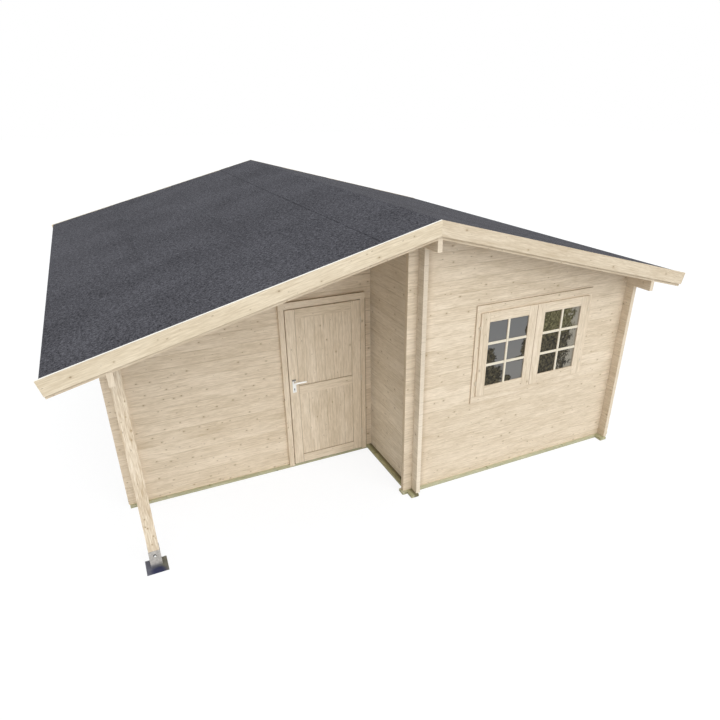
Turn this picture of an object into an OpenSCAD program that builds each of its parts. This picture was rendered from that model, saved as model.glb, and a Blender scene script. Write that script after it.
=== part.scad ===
// Log cabin with a covered corner porch: interlocking plank logs, a low gable roof and one outward door.
// The origin lies on the ground under the ridge, halfway along the roof. The porch faces -Y.

/* [House] */
// Width between the outer faces of the side walls
house_w = 5260; // [4600:10:6000]
// Depth between the outer faces of the front and back walls
house_d = 5280; // [4600:10:6000]
// Depth of the porch, from the front wall's face to the recessed wall's face
porch_d = 1000; // [950:10:1400]

/* [Logs] */
// Thickness of a wall log
log_t = 44; // [34:1:70]
// Height of one course of logs
log_h = 133; // [128:1:136]
// How far the logs run past a corner
log_end = 100; // [60:5:150]
// Depth of the V groove between two courses
groove = 1.5; // [1:0.5:6]
// Play in the corner notches
notch_play = 0.4; // [0.2:0.1:1]
// Courses below the eaves purlins
eave_courses = 14; // [13:1:14]
// Courses below the ridge purlin
ridge_courses = 19; // [18:1:19]

/* [Foundation] */
// Height of the foundation beams
beam_h = 28; // [24:1:34]
// Width of the foundation beams
beam_w = 86; // [70:1:100]
// How far the foundation beams run past a corner in front, behind and at the porch
beam_end = 120; // [100:5:150]
// How far the cross beams run past the side walls
beam_side_end = 90; // [60:5:100]
// How far the cross beams stand out in front of the walls they carry
beam_out = 31; // [0:1:40]
// How far the side walls overhang their beams
beam_in = 22; // [0:1:40]

/* [Roof] */
// Height of the ridge, at the top of the gable boards
ridge_z = 2839; // [2835:1:2950]
// Slope of the roof in degrees
roof_pitch = 14.4; // [14:0.1:15]
// Half width of the roof, to the ends of the gable boards
roof_half_w = 3056; // [2900:1:3200]
// Overhang of the roof past the front and back walls
roof_overhang = 325; // [200:5:400]
// Thickness of the roof boards
deck_t = 19; // [16:1:25]
// Thickness of the roofing felt
felt_t = 4; // [2:0.5:6]
// Height of the step at a felt lap
felt_lap = 3; // [2:0.5:4]
// Width of one strip of felt that shows
felt_pitch = 900; // [800:10:1000]
// Half width of the strip over the ridge
ridge_strip = 520; // [400:10:600]
// Width of a gable board
gable_board_w = 125; // [100:1:160]
// Thickness of a gable board
gable_board_t = 20; // [16:1:28]
// How far the inner gable board shows below the outer one
inner_board_drop = 27; // [10:1:40]
// How far the roof covering stops short of the gable boards' ends
covering_back = 25; // [10:1:60]
// How far the purlins are cut up from below outside the walls
purlin_nose_cut = 20; // [0:1:30]

/* [Porch post] */
// Side of the square post
post_w = 92; // [80:1:120]
// Height of the post's lower end above ground
post_z = 70; // [60:1:100]
// Width of the base plate
foot_w = 184; // [150:1:220]
// Thickness of the base plate
foot_t = 8; // [6:1:12]
// Thickness of the upright plates
foot_plate_t = 6; // [4:0.5:8]
// Height of the upright plates
foot_plate_h = 178; // [160:1:220]
// Height of the bolt hole
foot_hole_z = 130; // [110:1:150]
// Diameter of the bolt hole
foot_hole_d = 24; // [13:1:26]

/* [Door] */
// Middle of the door, measured from the ridge line
door_x = -571; // [-600:1:-565]
// Width of the door leaf
leaf_w = 814; // [700:1:820]
// Height of the leaf's lower edge above ground
leaf_z = 40; // [40:1:50]
// Height of the leaf's upper edge above ground
leaf_top = 1836; // [1800:1:1860]
// Thickness of the leaf
leaf_t = 40; // [36:1:44]
// Width of the leaf's stiles and rails
stile_w = 100; // [80:1:120]
// Height of the middle rail's upper edge
mid_rail_top = 990; // [900:5:1000]
// Gap round the leaf
leaf_gap = 6; // [5.5:0.5:7]
// Overlap of the leaf on its frame
leaf_lap = 22; // [18:1:24]
// Depth of a panel below the stiles
panel_sink = 8; // [5:1:11]
// Boards across one panel
panel_boards = 6; // [4:1:9]
// Width of the cover boards round the door
door_trim_w = 56; // [45:1:58]
// Width of the cover board over the door
door_top_trim_w = 68; // [50:1:80]
// How far the leaf stands out in front of the outer cover boards
leaf_proud = 11; // [11:1:16]
// How far the outer cover boards hang down over the beam
door_trim_hang = 14; // [8:1:22]
// Thickness of the other cover boards
trim_t = 14; // [10:1:16]
// Height of the lever's spindle
lever_z = 1052; // [1040:1:1060]
// Length of the lever
lever_len = 122; // [100:1:130]

/* [Window] */
// Middle of the window, measured from the ridge line
window_x = 1364; // [1300:1:1420]
// Height of the sashes' lower edge
sash_z = 968; // [900:1:1000]
// Height of a sash
sash_h = 893; // [800:1:900]
// Width of a sash
sash_w = 678; // [600:1:680]
// Width of a sash's stiles and rails
sash_stile = 100; // [70:1:110]
// Thickness of a sash
sash_t = 24; // [22:1:34]
// Gap between the two sashes
sash_gap = 6; // [4:1:14]
// Width of the cover boards beside the window
window_trim_w = 49; // [40:1:60]
// Width of the cover boards over and under the window
window_top_trim_w = 77; // [60:1:90]

/* [Hidden] */
$fn = 48;
eps = 0.5;
// Play between pieces that lie on one another along the slope
lay_play = 0.1;

// Wall lines
half_w = house_w / 2;
half_d = house_d / 2;
side_x = half_w - log_t / 2;
front_y = -half_d + log_t / 2;
recess_face = -half_d + porch_d;
recess_y = recess_face + log_t / 2;
recess_back = recess_face + log_t;
back_y = half_d - log_t / 2;
log_run_x = half_w + log_end;
log_run_y = half_d + log_end;
cross_end = log_t / 2 + log_end;

// Course heights: the side walls start with a whole log, the cross walls with half a log
wall_z = beam_h;
half_log = log_h / 2;
quarter_log = log_h / 4;
eave_z = wall_z + eave_courses * log_h;
ridge_purlin_z = wall_z + ridge_courses * log_h;
max_courses = 24;

// Roof heights, measured square to the slope from the underside of the roof boards
slope_cos = cos(roof_pitch);
slope_sin = sin(roof_pitch);
slope_tan = tan(roof_pitch);
board_top = deck_t + felt_t + 5;
board_foot = board_top - gable_board_w;
apex_z = ridge_z - board_top / slope_cos;
board_run = (roof_half_w - board_top * slope_sin) / slope_cos;
felt_run = board_run - covering_back;
deck_run = felt_run - 10;
roof_y = half_d + roof_overhang;
inner_roof_y = roof_y - gable_board_t;
inner_board_t = 20;

// Post
post_x = -half_w;
post_y = -half_d;
post_mid_x = post_x + post_w / 2;
foot_plate_w = post_w + 8;
foot_front = 85;
seat_t = 6;

// Door
leaf_x0 = door_x - leaf_w / 2;
leaf_x1 = door_x + leaf_w / 2;
leaf_back = recess_face - 5;
leaf_front = leaf_back - leaf_t;
door_trim_t = recess_face - leaf_front - leaf_proud;
jamb_x0 = leaf_x0 - leaf_gap;
jamb_x1 = leaf_x1 + leaf_gap;
jamb_w = leaf_gap + leaf_lap;
head_z = leaf_top - leaf_lap;
head_top = leaf_top + leaf_gap;
sill_top = leaf_z - leaf_gap;
hinge_x = leaf_x1 + 10;
hinge_r = 5;
hinge_y = leaf_front + hinge_r;
hinge_pin_r = 3;
hinge_play = 0.05;
knuckle_h = 30;
knuckle_gap = 1;
hinge_heights = [260, 940, 1620];
plate_w = 38;
plate_h = 150;
plate_t = 3;
plate_x = leaf_x0 + 49;
plate_drop = 125;
lever_r = 10;
lever_reach = 52;
spindle_r = 5;

// Window
window_face = -half_d;
sash_back = window_face - 4;
sash_front = sash_back - sash_t;
window_half_w = sash_w + sash_gap / 2;
sash_top = sash_z + sash_h;
frame_in = 6;
frame_w = 40;
mullion_w = 64;
glass_t = 4;
rebate = 10;
hinge_bump_z = [150, 740];

// Floor
floor_t = 19;
floor_gap = 6;
floor_x = half_w - log_t - floor_gap;
floor_y = half_d - log_t - floor_gap;
joist_w = 60;
joist_count = 3;

wood = "burlywood";
pale_wood = "wheat";
treated = "darkkhaki";
felt_grey = "dimgray";
steel = "silver";

// Outline of a stack of logs seen from its end, with a V groove at each course line
module log_section(z0, z1, first_seam) {
    last = floor((z1 - groove - first_seam) / log_h);
    seams = [for (k = [0 : max(last, 0)]) first_seam + k * log_h];
    used = [for (z = seams) if (z > z0 + groove && z < z1 - groove) z];
    t = log_t / 2;
    up = [for (z = used) each [[t, z - groove], [t - groove, z], [t, z + groove]]];
    n = len(used);
    down = [for (k = [0 : n - 1]) let (z = used[n - 1 - k])
        each [[-t, z + groove], [-t + groove, z], [-t, z - groove]]];
    polygon(concat([[-t, z0], [t, z0]], up, [[t, z1], [-t, z1]], down));
}

// Stack of logs along X: its courses lie half a log above those of the side walls
module cross_logs(x0, x1, y, z0, z1) {
    translate([x0, y, 0])
        rotate([90, 0, 90])
            linear_extrude(x1 - x0)
                log_section(z0, z1, wall_z + half_log);
}

// Stack of logs along Y
module side_logs(x, y0, y1, z0, z1) {
    translate([x, y1, 0])
        rotate([90, 0, 0])
            linear_extrude(y1 - y0)
                log_section(z0, z1, wall_z + log_h);
}

// Room for the cores of the side logs where they pass through a cross wall at x
module notches_for_side_logs(x, y, z0, z1) {
    w = log_t + 2 * notch_play;
    for (k = [0 : max_courses]) {
        low = max(wall_z + k * log_h + quarter_log - notch_play, z0 - eps);
        high = min(wall_z + k * log_h + 3 * quarter_log + notch_play, z1);
        if (high > low + 2 * eps)
            translate([x - w / 2, y - log_t, low])
                cube([w, 2 * log_t, high - low]);
    }
}

// Room for the cores of the cross logs where they pass through a side wall at y
module notches_for_cross_logs(x, y, z0, z1) {
    w = log_t + 2 * notch_play;
    for (k = [0 : max_courses]) {
        low = max(wall_z + k * log_h - quarter_log - notch_play, z0 - eps);
        high = min(wall_z + k * log_h + quarter_log + notch_play, z1);
        if (high > low + 2 * eps)
            translate([x - log_t, y - w / 2, low])
                cube([2 * log_t, w, high - low]);
    }
}

// Point on the right slope: run along the slope, rise square to it
function slope_point(run, rise) =
    [run * slope_cos + rise * slope_sin, apex_z - run * slope_sin + rise * slope_cos];

// Height of the roof boards' underside at x
function roof_under(x) = apex_z - abs(x) * slope_tan;

// Everything under the roof boards
module under_roof() {
    far = roof_half_w + 200;
    eaves = roof_under(far) - lay_play;
    translate([0, roof_y, 0])
        rotate([90, 0, 0])
            linear_extrude(2 * roof_y)
                polygon([[-far, 0], [far, 0], [far, eaves], [0, apex_z - lay_play], [-far, eaves]]);
}

// Slab on the right slope between two rises, cut plumb at the ridge and square at the eaves
module slope_slab(rise0, rise1, run, y0, y1) {
    translate([0, y1, 0])
        rotate([90, 0, 0])
            linear_extrude(y1 - y0)
                polygon([
                    [0, apex_z + rise0 / slope_cos],
                    slope_point(run, rise0),
                    slope_point(run, rise1),
                    [0, apex_z + rise1 / slope_cos]
                ]);
}

// Foundation

// Outline of a cross beam before its laps
module cross_beam(x0, x1, y0) {
    translate([x0, y0, 0])
        cube([x1 - x0, beam_w, beam_h]);
}

module side_beam(x0, y0, y1) {
    translate([x0, y0, 0])
        cube([beam_w, y1 - y0, beam_h]);
}

left_beam_x = -half_w + beam_in;
right_beam_x = half_w - beam_in - beam_w;
porch_beam_x = log_t / 2 - beam_in - beam_w;
beam_run_x = half_w + beam_side_end;
beam_run_y = half_d + beam_end;
front_beam_y = -half_d - beam_out;
recess_beam_y = recess_face - beam_out;
back_beam_y = half_d + beam_out - beam_w;

module side_beam_places() {
    side_beam(left_beam_x, recess_beam_y, beam_run_y);
    side_beam(porch_beam_x, -beam_run_y, recess_back + beam_end);
    side_beam(right_beam_x, -beam_run_y, beam_run_y);
}

module cross_beam_places() {
    cross_beam(-log_t / 2 - beam_end, beam_run_x, front_beam_y);
    cross_beam(-beam_run_x, log_t / 2 + beam_end, recess_beam_y);
    cross_beam(-beam_run_x, beam_run_x, back_beam_y);
}

// Cross beams, cut down to half height where the side beams lie over them
module cross_beams() {
    color(treated) difference() {
        cross_beam_places();
        translate([0, 0, beam_h / 2])
            side_beam_places();
    }
}

// Side beams, cut up to half height where they lie over the cross beams
module side_beams() {
    color(treated) difference() {
        side_beam_places();
        translate([0, 0, -beam_h / 2])
            cross_beam_places();
    }
}

// Floor

module floor_joists() {
    color(treated) {
        for (k = [1 : joist_count]) {
            x = right_beam_x * k / (joist_count + 1);
            translate([x - joist_w / 2, front_beam_y + beam_w, 0])
                cube([joist_w, back_beam_y - front_beam_y - beam_w, beam_h]);
            translate([-x - joist_w / 2, recess_beam_y + beam_w, 0])
                cube([joist_w, back_beam_y - recess_beam_y - beam_w, beam_h]);
        }
    }
}

// Room for the porch side wall and for the recessed wall's inner end
module floor_cutouts() {
    w = log_t / 2 + floor_gap;
    translate([-w, -half_d, 0])
        cube([2 * w, recess_back + log_end + floor_gap + half_d, 2 * wall_z + floor_t]);
    translate([0, recess_face - floor_gap, 0])
        cube([cross_end + floor_gap, log_t + 2 * floor_gap, 2 * wall_z + floor_t]);
}

module floor_left() {
    y0 = recess_back + floor_gap;
    color(pale_wood) difference() {
        translate([-floor_x, y0, wall_z])
            cube([floor_x, floor_y - y0, floor_t]);
        floor_cutouts();
    }
}

module floor_right() {
    color(pale_wood) difference() {
        translate([0, -floor_y, wall_z])
            cube([floor_x, 2 * floor_y, floor_t]);
        floor_cutouts();
    }
}

// Walls

module left_wall() {
    color(wood) difference() {
        side_logs(-side_x, recess_face - log_end, log_run_y, wall_z, eave_z);
        notches_for_cross_logs(-side_x, recess_y, wall_z, eave_z + eps);
        notches_for_cross_logs(-side_x, back_y, wall_z, eave_z + eps);
    }
}

module right_wall() {
    color(wood) difference() {
        side_logs(side_x, -log_run_y, log_run_y, wall_z, eave_z);
        notches_for_cross_logs(side_x, front_y, wall_z, eave_z + eps);
        notches_for_cross_logs(side_x, back_y, wall_z, eave_z + eps);
    }
}

module back_wall() {
    color(wood) difference() {
        intersection() {
            cross_logs(-log_run_x, log_run_x, back_y, wall_z, apex_z);
            under_roof();
        }
        notches_for_side_logs(-side_x, back_y, wall_z, apex_z);
        notches_for_side_logs(side_x, back_y, wall_z, apex_z);
        notches_for_side_logs(0, back_y, ridge_purlin_z, apex_z);
    }
}

module front_wall() {
    color(wood) difference() {
        intersection() {
            cross_logs(-cross_end, log_run_x, front_y, wall_z, apex_z);
            under_roof();
        }
        notches_for_side_logs(0, front_y, wall_z, apex_z);
        notches_for_side_logs(side_x, front_y, wall_z, apex_z);
        translate([window_x - window_half_w + frame_in, front_y - log_t, sash_z + frame_in])
            cube([2 * (window_half_w - frame_in), 2 * log_t, sash_h - 2 * frame_in]);
    }
}

module porch_side_wall() {
    color(wood) difference() {
        side_logs(0, -log_run_y, recess_back + log_end, wall_z, ridge_purlin_z);
        notches_for_cross_logs(0, front_y, wall_z, ridge_purlin_z + eps);
        notches_for_cross_logs(0, recess_y, wall_z, ridge_purlin_z + eps);
    }
}

module recess_wall_left() {
    color(wood) difference() {
        intersection() {
            cross_logs(-log_run_x, jamb_x0, recess_y, wall_z, apex_z);
            under_roof();
        }
        notches_for_side_logs(-side_x, recess_y, wall_z, apex_z);
    }
}

module recess_wall_right() {
    color(wood) difference() {
        intersection() {
            cross_logs(jamb_x1, cross_end, recess_y, wall_z, apex_z);
            under_roof();
        }
        notches_for_side_logs(0, recess_y, wall_z, apex_z);
    }
}

module recess_wall_top() {
    color(wood) intersection() {
        cross_logs(jamb_x0, jamb_x1, recess_y, head_top, apex_z);
        under_roof();
    }
}

// Roof timbers

// Top course along Y at height z, notched at the cross walls ys and cut up from below beyond its wall's ends
module purlin(x, z, ys, wall_start) {
    difference() {
        intersection() {
            side_logs(x, -inner_roof_y, inner_roof_y, z, apex_z);
            under_roof();
        }
        for (y = ys)
            notches_for_cross_logs(x, y, z, apex_z);
        for (ends = [[-roof_y, wall_start], [log_run_y, roof_y]])
            translate([x - log_t, ends[0], z - purlin_nose_cut])
                cube([2 * log_t, ends[1] - ends[0], 2 * purlin_nose_cut]);
    }
}

module left_purlin() {
    color(pale_wood) purlin(-side_x, eave_z, [recess_y, back_y], recess_face - log_end);
}

module right_purlin() {
    color(pale_wood) purlin(side_x, eave_z, [front_y, back_y], -log_run_y);
}

module ridge_purlin() {
    color(pale_wood) purlin(0, ridge_purlin_z, [front_y, recess_y, back_y], -log_run_y);
}

// Square post, its outer half cut away under the purlin
module porch_post() {
    seat_z = eave_z + purlin_nose_cut;
    color(pale_wood) difference() {
        translate([post_x, post_y, post_z])
            cube([post_w, post_w, eave_z + log_h - post_z]);
        translate([post_x - eps, post_y - eps, seat_z])
            cube([log_t + eps, post_w + 2 * eps, log_h]);
    }
}

// Welded post foot: base plate, two uprights with a bolt hole, and the seat under the post
module post_foot() {
    color(steel) difference() {
        union() {
            translate([post_mid_x - foot_w / 2, post_y - foot_front, 0])
                cube([foot_w, foot_front + post_w + foot_plate_t + 4, foot_t]);
            for (y = [post_y - foot_plate_t, post_y + post_w])
                translate([post_mid_x - foot_plate_w / 2, y, 0])
                    cube([foot_plate_w, foot_plate_t, foot_plate_h]);
            translate([post_mid_x - foot_plate_w / 2, post_y - eps, post_z - seat_t])
                cube([foot_plate_w, post_w + 2 * eps, seat_t]);
        }
        for (y = [post_y - foot_plate_t, post_y + post_w])
            translate([post_mid_x, y + foot_plate_t + eps, foot_hole_z])
                rotate([90, 0, 0])
                    cylinder(d = foot_hole_d, h = foot_plate_t + 2 * eps);
    }
}

// Roof covering

module deck() {
    slope_slab(0, deck_t, deck_run, -inner_roof_y, inner_roof_y);
}

module roof_deck_right() {
    color(pale_wood) deck();
}

module roof_deck_left() {
    color(pale_wood) mirror([1, 0, 0]) deck();
}

// Lapped felt: each strip starts a step above the one below it and runs down to the boards again
module felt() {
    under = deck_t + lay_play;
    over = deck_t + felt_t;
    laps = [for (k = [1 : floor((felt_run - ridge_strip) / felt_pitch)]) felt_run - k * felt_pitch];
    steps = [for (run = laps) each [slope_point(run, over), slope_point(run, over + felt_lap)]];
    translate([0, inner_roof_y, 0])
        rotate([90, 0, 0])
            linear_extrude(2 * inner_roof_y)
                polygon(concat(
                    [[0, apex_z + under / slope_cos], slope_point(felt_run, under), slope_point(felt_run, over)],
                    steps,
                    [slope_point(ridge_strip, over), [0, apex_z + over / slope_cos]]
                ));
}

module roof_felt_right() {
    color(felt_grey) felt();
}

module roof_felt_left() {
    color(felt_grey) mirror([1, 0, 0]) felt();
}

// Strip of felt folded over the ridge
module ridge_felt() {
    over = deck_t + felt_t + lay_play;
    color(felt_grey)
        for (side = [0, 1])
            mirror([side, 0, 0])
                slope_slab(over, over + felt_lap, ridge_strip, -inner_roof_y, inner_roof_y);
}

module gable_board() {
    slope_slab(board_foot, board_top, board_run, -roof_y, -inner_roof_y);
}

module gable_board_front_right() {
    color(pale_wood) gable_board();
}

module gable_board_front_left() {
    color(pale_wood) mirror([1, 0, 0]) gable_board();
}

module gable_board_back_right() {
    color(pale_wood) mirror([0, 1, 0]) gable_board();
}

module gable_board_back_left() {
    color(pale_wood) mirror([0, 1, 0]) mirror([1, 0, 0]) gable_board();
}

// Inner boards under the roof boards, in two lengths a side beside the purlins
module inner_gable_boards() {
    foot = board_foot - inner_board_drop;
    y0 = -inner_roof_y;
    for (side = [0, 1])
        mirror([side, 0, 0])
            difference() {
                slope_slab(foot, -lay_play, board_run, y0, y0 + inner_board_t);
                for (x = [0, side_x])
                    translate([x - log_t / 2, y0 - eps, eave_z - log_h])
                        cube([log_t, inner_board_t + 2 * eps, ridge_z]);
            }
}

module inner_gable_boards_front() {
    color(pale_wood) inner_gable_boards();
}

module inner_gable_boards_back() {
    color(pale_wood) mirror([0, 1, 0]) inner_gable_boards();
}

// Door

module door_jambs() {
    color(pale_wood)
        for (x = [jamb_x0, jamb_x1 - jamb_w])
            translate([x, recess_face, wall_z])
                cube([jamb_w, log_t, head_z - wall_z]);
}

module door_head_and_sill() {
    color(pale_wood) {
        translate([jamb_x0, recess_face, head_z])
            cube([jamb_x1 - jamb_x0, log_t, head_top - head_z]);
        translate([jamb_x0 + jamb_w, recess_face, wall_z])
            cube([jamb_x1 - jamb_x0 - 2 * jamb_w, log_t, sill_top - wall_z + leaf_lap / 2]);
    }
}

// Cover boards on the outside, hung over the beam, and on the inside, from the floor up
door_trim_places = [
    [recess_face - door_trim_t, door_trim_t, wall_z - door_trim_hang],
    [recess_back, trim_t, wall_z + floor_t]
];

module door_side_trim() {
    color(pale_wood) difference() {
        for (x = [jamb_x0 - door_trim_w, jamb_x1])
            for (place = door_trim_places)
                translate([x, place[0], place[2]])
                    cube([door_trim_w, place[1], head_top - place[2]]);
        cross_beam_places();
    }
}

module door_top_trim() {
    color(pale_wood)
        for (place = door_trim_places)
            translate([jamb_x0 - door_trim_w, place[0], head_top])
                cube([jamb_x1 - jamb_x0 + 2 * door_trim_w, place[1], door_top_trim_w]);
}

panel_x0 = leaf_x0 + stile_w;
panel_w = leaf_w - 2 * stile_w;
panel_spans = [[leaf_z + stile_w, mid_rail_top - stile_w], [mid_rail_top, leaf_top - stile_w]];

// Stiles and rails
module door_leaf() {
    color(wood) difference() {
        translate([leaf_x0, leaf_front, leaf_z])
            cube([leaf_w, leaf_t, leaf_top - leaf_z]);
        for (span = panel_spans)
            translate([panel_x0, leaf_front - eps, span[0]])
                cube([panel_w, leaf_t + 2 * eps, span[1] - span[0]]);
        translate([plate_x, leaf_back + eps, lever_z])
            rotate([90, 0, 0])
                cylinder(r = lever_r, h = leaf_t + 2 * eps);
    }
}

// Upright tongued boards with a V groove at each joint, on both faces
module board_panel_outline() {
    board_w = panel_w / panel_boards;
    t = leaf_t / 2 - panel_sink;
    front = [for (k = [1 : panel_boards - 1]) let (x = k * board_w)
        each [[x - groove, -t], [x, -t + groove], [x + groove, -t]]];
    back = [for (k = [1 : panel_boards - 1]) let (x = (panel_boards - k) * board_w)
        each [[x + groove, t], [x, t - groove], [x - groove, t]]];
    polygon(concat([[0, -t]], front, [[panel_w, -t], [panel_w, t]], back, [[0, t]]));
}

module door_panels() {
    color(pale_wood)
        for (span = panel_spans)
            translate([panel_x0, leaf_front + leaf_t / 2, span[0]])
                linear_extrude(span[1] - span[0])
                    board_panel_outline();
}

// Long plates outside and inside, drilled for the spindle
module door_handle_plates() {
    color(steel)
        for (y = [leaf_front - plate_t, leaf_back])
            difference() {
                translate([plate_x - plate_w / 2, y, lever_z - plate_drop])
                    cube([plate_w, plate_t, plate_h]);
                translate([plate_x, y + plate_t + eps, lever_z])
                    rotate([90, 0, 0])
                        cylinder(r = spindle_r + hinge_play, h = plate_t + 2 * eps);
            }
}

// Spindle with a lever on each side of the leaf
module door_lever() {
    out_y = leaf_front - lever_reach;
    in_y = leaf_back + lever_reach;
    color(steel) {
        translate([plate_x, in_y, lever_z])
            rotate([90, 0, 0])
                cylinder(r = spindle_r, h = in_y - out_y);
        for (y = [leaf_front - plate_t - knuckle_gap, in_y + lever_r])
            translate([plate_x, y, lever_z])
                rotate([90, 0, 0])
                    cylinder(r = lever_r, h = lever_reach + lever_r - plate_t - knuckle_gap);
        for (y = [out_y, in_y])
            translate([plate_x, y, lever_z]) {
                rotate([0, 90, 0])
                    cylinder(r = lever_r, h = lever_len - lever_r);
                translate([lever_len - lever_r, 0, 0])
                    sphere(r = lever_r);
            }
    }
}

// Lower hinge halves: knuckle, pin, and the shank into the frame
module hinge_pins() {
    shank_l = recess_face - door_trim_t - hinge_y;
    color(steel)
        for (z = hinge_heights)
            translate([hinge_x, hinge_y, z]) {
                translate([0, 0, -knuckle_h])
                    cylinder(r = hinge_r, h = knuckle_h);
                translate([0, 0, -eps])
                    cylinder(r = hinge_pin_r, h = knuckle_h - 2);
                translate([0, shank_l, -knuckle_h / 2])
                    rotate([90, 0, 0])
                        cylinder(r = hinge_pin_r, h = shank_l);
            }
}

// Upper hinge halves: drilled knuckle and the shank into the leaf's edge
module hinge_knuckles() {
    color(steel)
        for (z = hinge_heights)
            translate([hinge_x, hinge_y, z + knuckle_gap])
                difference() {
                    union() {
                        cylinder(r = hinge_r, h = knuckle_h);
                        translate([leaf_x1 - hinge_x, 0, knuckle_h / 2])
                            rotate([0, 90, 0])
                                cylinder(r = hinge_pin_r, h = hinge_x - leaf_x1);
                    }
                    translate([0, 0, -eps])
                        cylinder(r = hinge_pin_r + hinge_play, h = knuckle_h + 2 * eps);
                }
}

// Window

// Flat ring standing in the XZ plane
module ring(x0, x1, z0, z1, side_w, rail_w, y0, t) {
    difference() {
        translate([x0, y0, z0])
            cube([x1 - x0, t, z1 - z0]);
        translate([x0 + side_w, y0 - eps, z0 + rail_w])
            cube([x1 - x0 - 2 * side_w, t + 2 * eps, z1 - z0 - 2 * rail_w]);
    }
}

module window_frame() {
    x0 = window_x - window_half_w + frame_in;
    x1 = window_x + window_half_w - frame_in;
    depth = window_face + log_t - sash_back;
    color(pale_wood) {
        ring(x0, x1, sash_z + frame_in, sash_top - frame_in, frame_w, frame_w, sash_back, depth);
        translate([window_x - mullion_w / 2, sash_back, sash_z + frame_in])
            cube([mullion_w, depth, sash_h - 2 * frame_in]);
    }
}

// Cover boards outside and inside
module window_trim() {
    gap = 1;
    x0 = window_x - window_half_w - gap - window_trim_w;
    x1 = window_x + window_half_w + gap + window_trim_w;
    z0 = sash_z - gap - window_top_trim_w;
    z1 = sash_top + gap + window_top_trim_w;
    color(pale_wood)
        for (y = [window_face - trim_t, window_face + log_t])
            ring(x0, x1, z0, z1, window_trim_w, window_top_trim_w, y, trim_t);
}

module sash(x0) {
    difference() {
        ring(x0, x0 + sash_w, sash_z, sash_top, sash_stile, sash_stile, sash_front, sash_t);
        pane(x0);
    }
}

// Pane let into the sash all round
module pane(x0) {
    translate([x0 + sash_stile - rebate, sash_front + sash_t / 2, sash_z + sash_stile - rebate])
        cube([sash_w - 2 * sash_stile + 2 * rebate, glass_t, sash_h - 2 * sash_stile + 2 * rebate]);
}

left_sash_x = window_x - window_half_w;
right_sash_x = window_x + sash_gap / 2;

module left_sash() {
    color(wood) sash(left_sash_x);
}

module right_sash() {
    color(wood) sash(right_sash_x);
}

module window_glass() {
    color("lightsteelblue", 0.5)
        for (x = [left_sash_x, right_sash_x])
            pane(x);
}

// Hinge barrels beside the outer stiles, each with a shank into the sash and one into the cover board
module window_hinges() {
    r = 6;
    h = 40;
    reach = 10;
    shank_r = 3;
    back = window_face - trim_t - sash_front - r;
    color(steel)
        for (side = [-1, 1])
            for (z = hinge_bump_z)
                translate([window_x + side * (window_half_w + reach), sash_front + r, sash_z + z]) {
                    translate([0, 0, -h / 2])
                        cylinder(r = r, h = h);
                    translate([0, 0, h / 4])
                        rotate([0, -90 * side, 0])
                            cylinder(r = shank_r, h = reach);
                    translate([0, back, -h / 4])
                        rotate([90, 0, 0])
                            cylinder(r = shank_r, h = back);
                }
}

cross_beams();
side_beams();
floor_joists();
floor_left();
floor_right();
left_wall();
right_wall();
back_wall();
front_wall();
porch_side_wall();
recess_wall_left();
recess_wall_right();
recess_wall_top();
left_purlin();
right_purlin();
ridge_purlin();
porch_post();
post_foot();
roof_deck_left();
roof_deck_right();
roof_felt_left();
roof_felt_right();
ridge_felt();
gable_board_front_left();
gable_board_front_right();
gable_board_back_left();
gable_board_back_right();
inner_gable_boards_front();
inner_gable_boards_back();
door_jambs();
door_head_and_sill();
door_side_trim();
door_top_trim();
door_leaf();
door_panels();
door_handle_plates();
door_lever();
hinge_pins();
hinge_knuckles();
window_frame();
window_trim();
left_sash();
right_sash();
window_glass();
window_hinges();
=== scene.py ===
import math
from collections import namedtuple

import bmesh
import bpy
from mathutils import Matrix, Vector


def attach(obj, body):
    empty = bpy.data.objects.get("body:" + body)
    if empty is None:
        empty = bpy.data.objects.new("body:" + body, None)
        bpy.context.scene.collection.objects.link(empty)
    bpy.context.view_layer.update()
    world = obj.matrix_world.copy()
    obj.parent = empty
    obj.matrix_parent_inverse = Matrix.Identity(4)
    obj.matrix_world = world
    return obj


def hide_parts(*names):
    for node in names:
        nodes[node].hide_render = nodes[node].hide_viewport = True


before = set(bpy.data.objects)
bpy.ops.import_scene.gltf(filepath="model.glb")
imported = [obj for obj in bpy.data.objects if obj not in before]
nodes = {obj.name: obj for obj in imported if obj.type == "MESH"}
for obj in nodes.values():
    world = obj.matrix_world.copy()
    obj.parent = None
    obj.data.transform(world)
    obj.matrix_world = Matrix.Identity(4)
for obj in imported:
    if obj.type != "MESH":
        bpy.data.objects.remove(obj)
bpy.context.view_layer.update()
scene = bpy.context.scene
scene.view_settings.view_transform = "Standard"

X, Y, Z = (1, 0, 0), (0, 1, 0), (0, 0, 1)
LEFT_SIDE = (-1, 0, 0)
FRONT = (0, -1, 0)
ANY_HEIGHT = 10.0

# Sizes of the house in metres, as in the part's source
LOG_H = 0.133
SIDE_SEAM = 0.028
CROSS_SEAM = SIDE_SEAM - LOG_H / 2
PITCH = math.radians(14.4)
SLOPE_COS = math.cos(PITCH)
SLOPE_SIN = math.sin(PITCH)
RIGHT_ALONG, RIGHT_ACROSS = (SLOPE_COS, 0, -SLOPE_SIN), (SLOPE_SIN, 0, SLOPE_COS)
LEFT_ALONG, LEFT_ACROSS = (SLOPE_COS, 0, SLOPE_SIN), (-SLOPE_SIN, 0, SLOPE_COS)
RIDGE_Z = 2.839
BOARD_TOP = 0.028
BOARD_W = 0.125
APEX_Z = RIDGE_Z - BOARD_TOP / SLOPE_COS
BOARD_ROW = APEX_Z * SLOPE_COS + BOARD_TOP - BOARD_W
ROOF_HALF_W = 3.056
INNER_ROOF_Y = 2.945
COVERING_BACK = 0.025
DECK_BACK = 0.010
FELT_RUN = (ROOF_HALF_W - BOARD_TOP * SLOPE_SIN) / SLOPE_COS - COVERING_BACK
FELT_PITCH = 0.900
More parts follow.
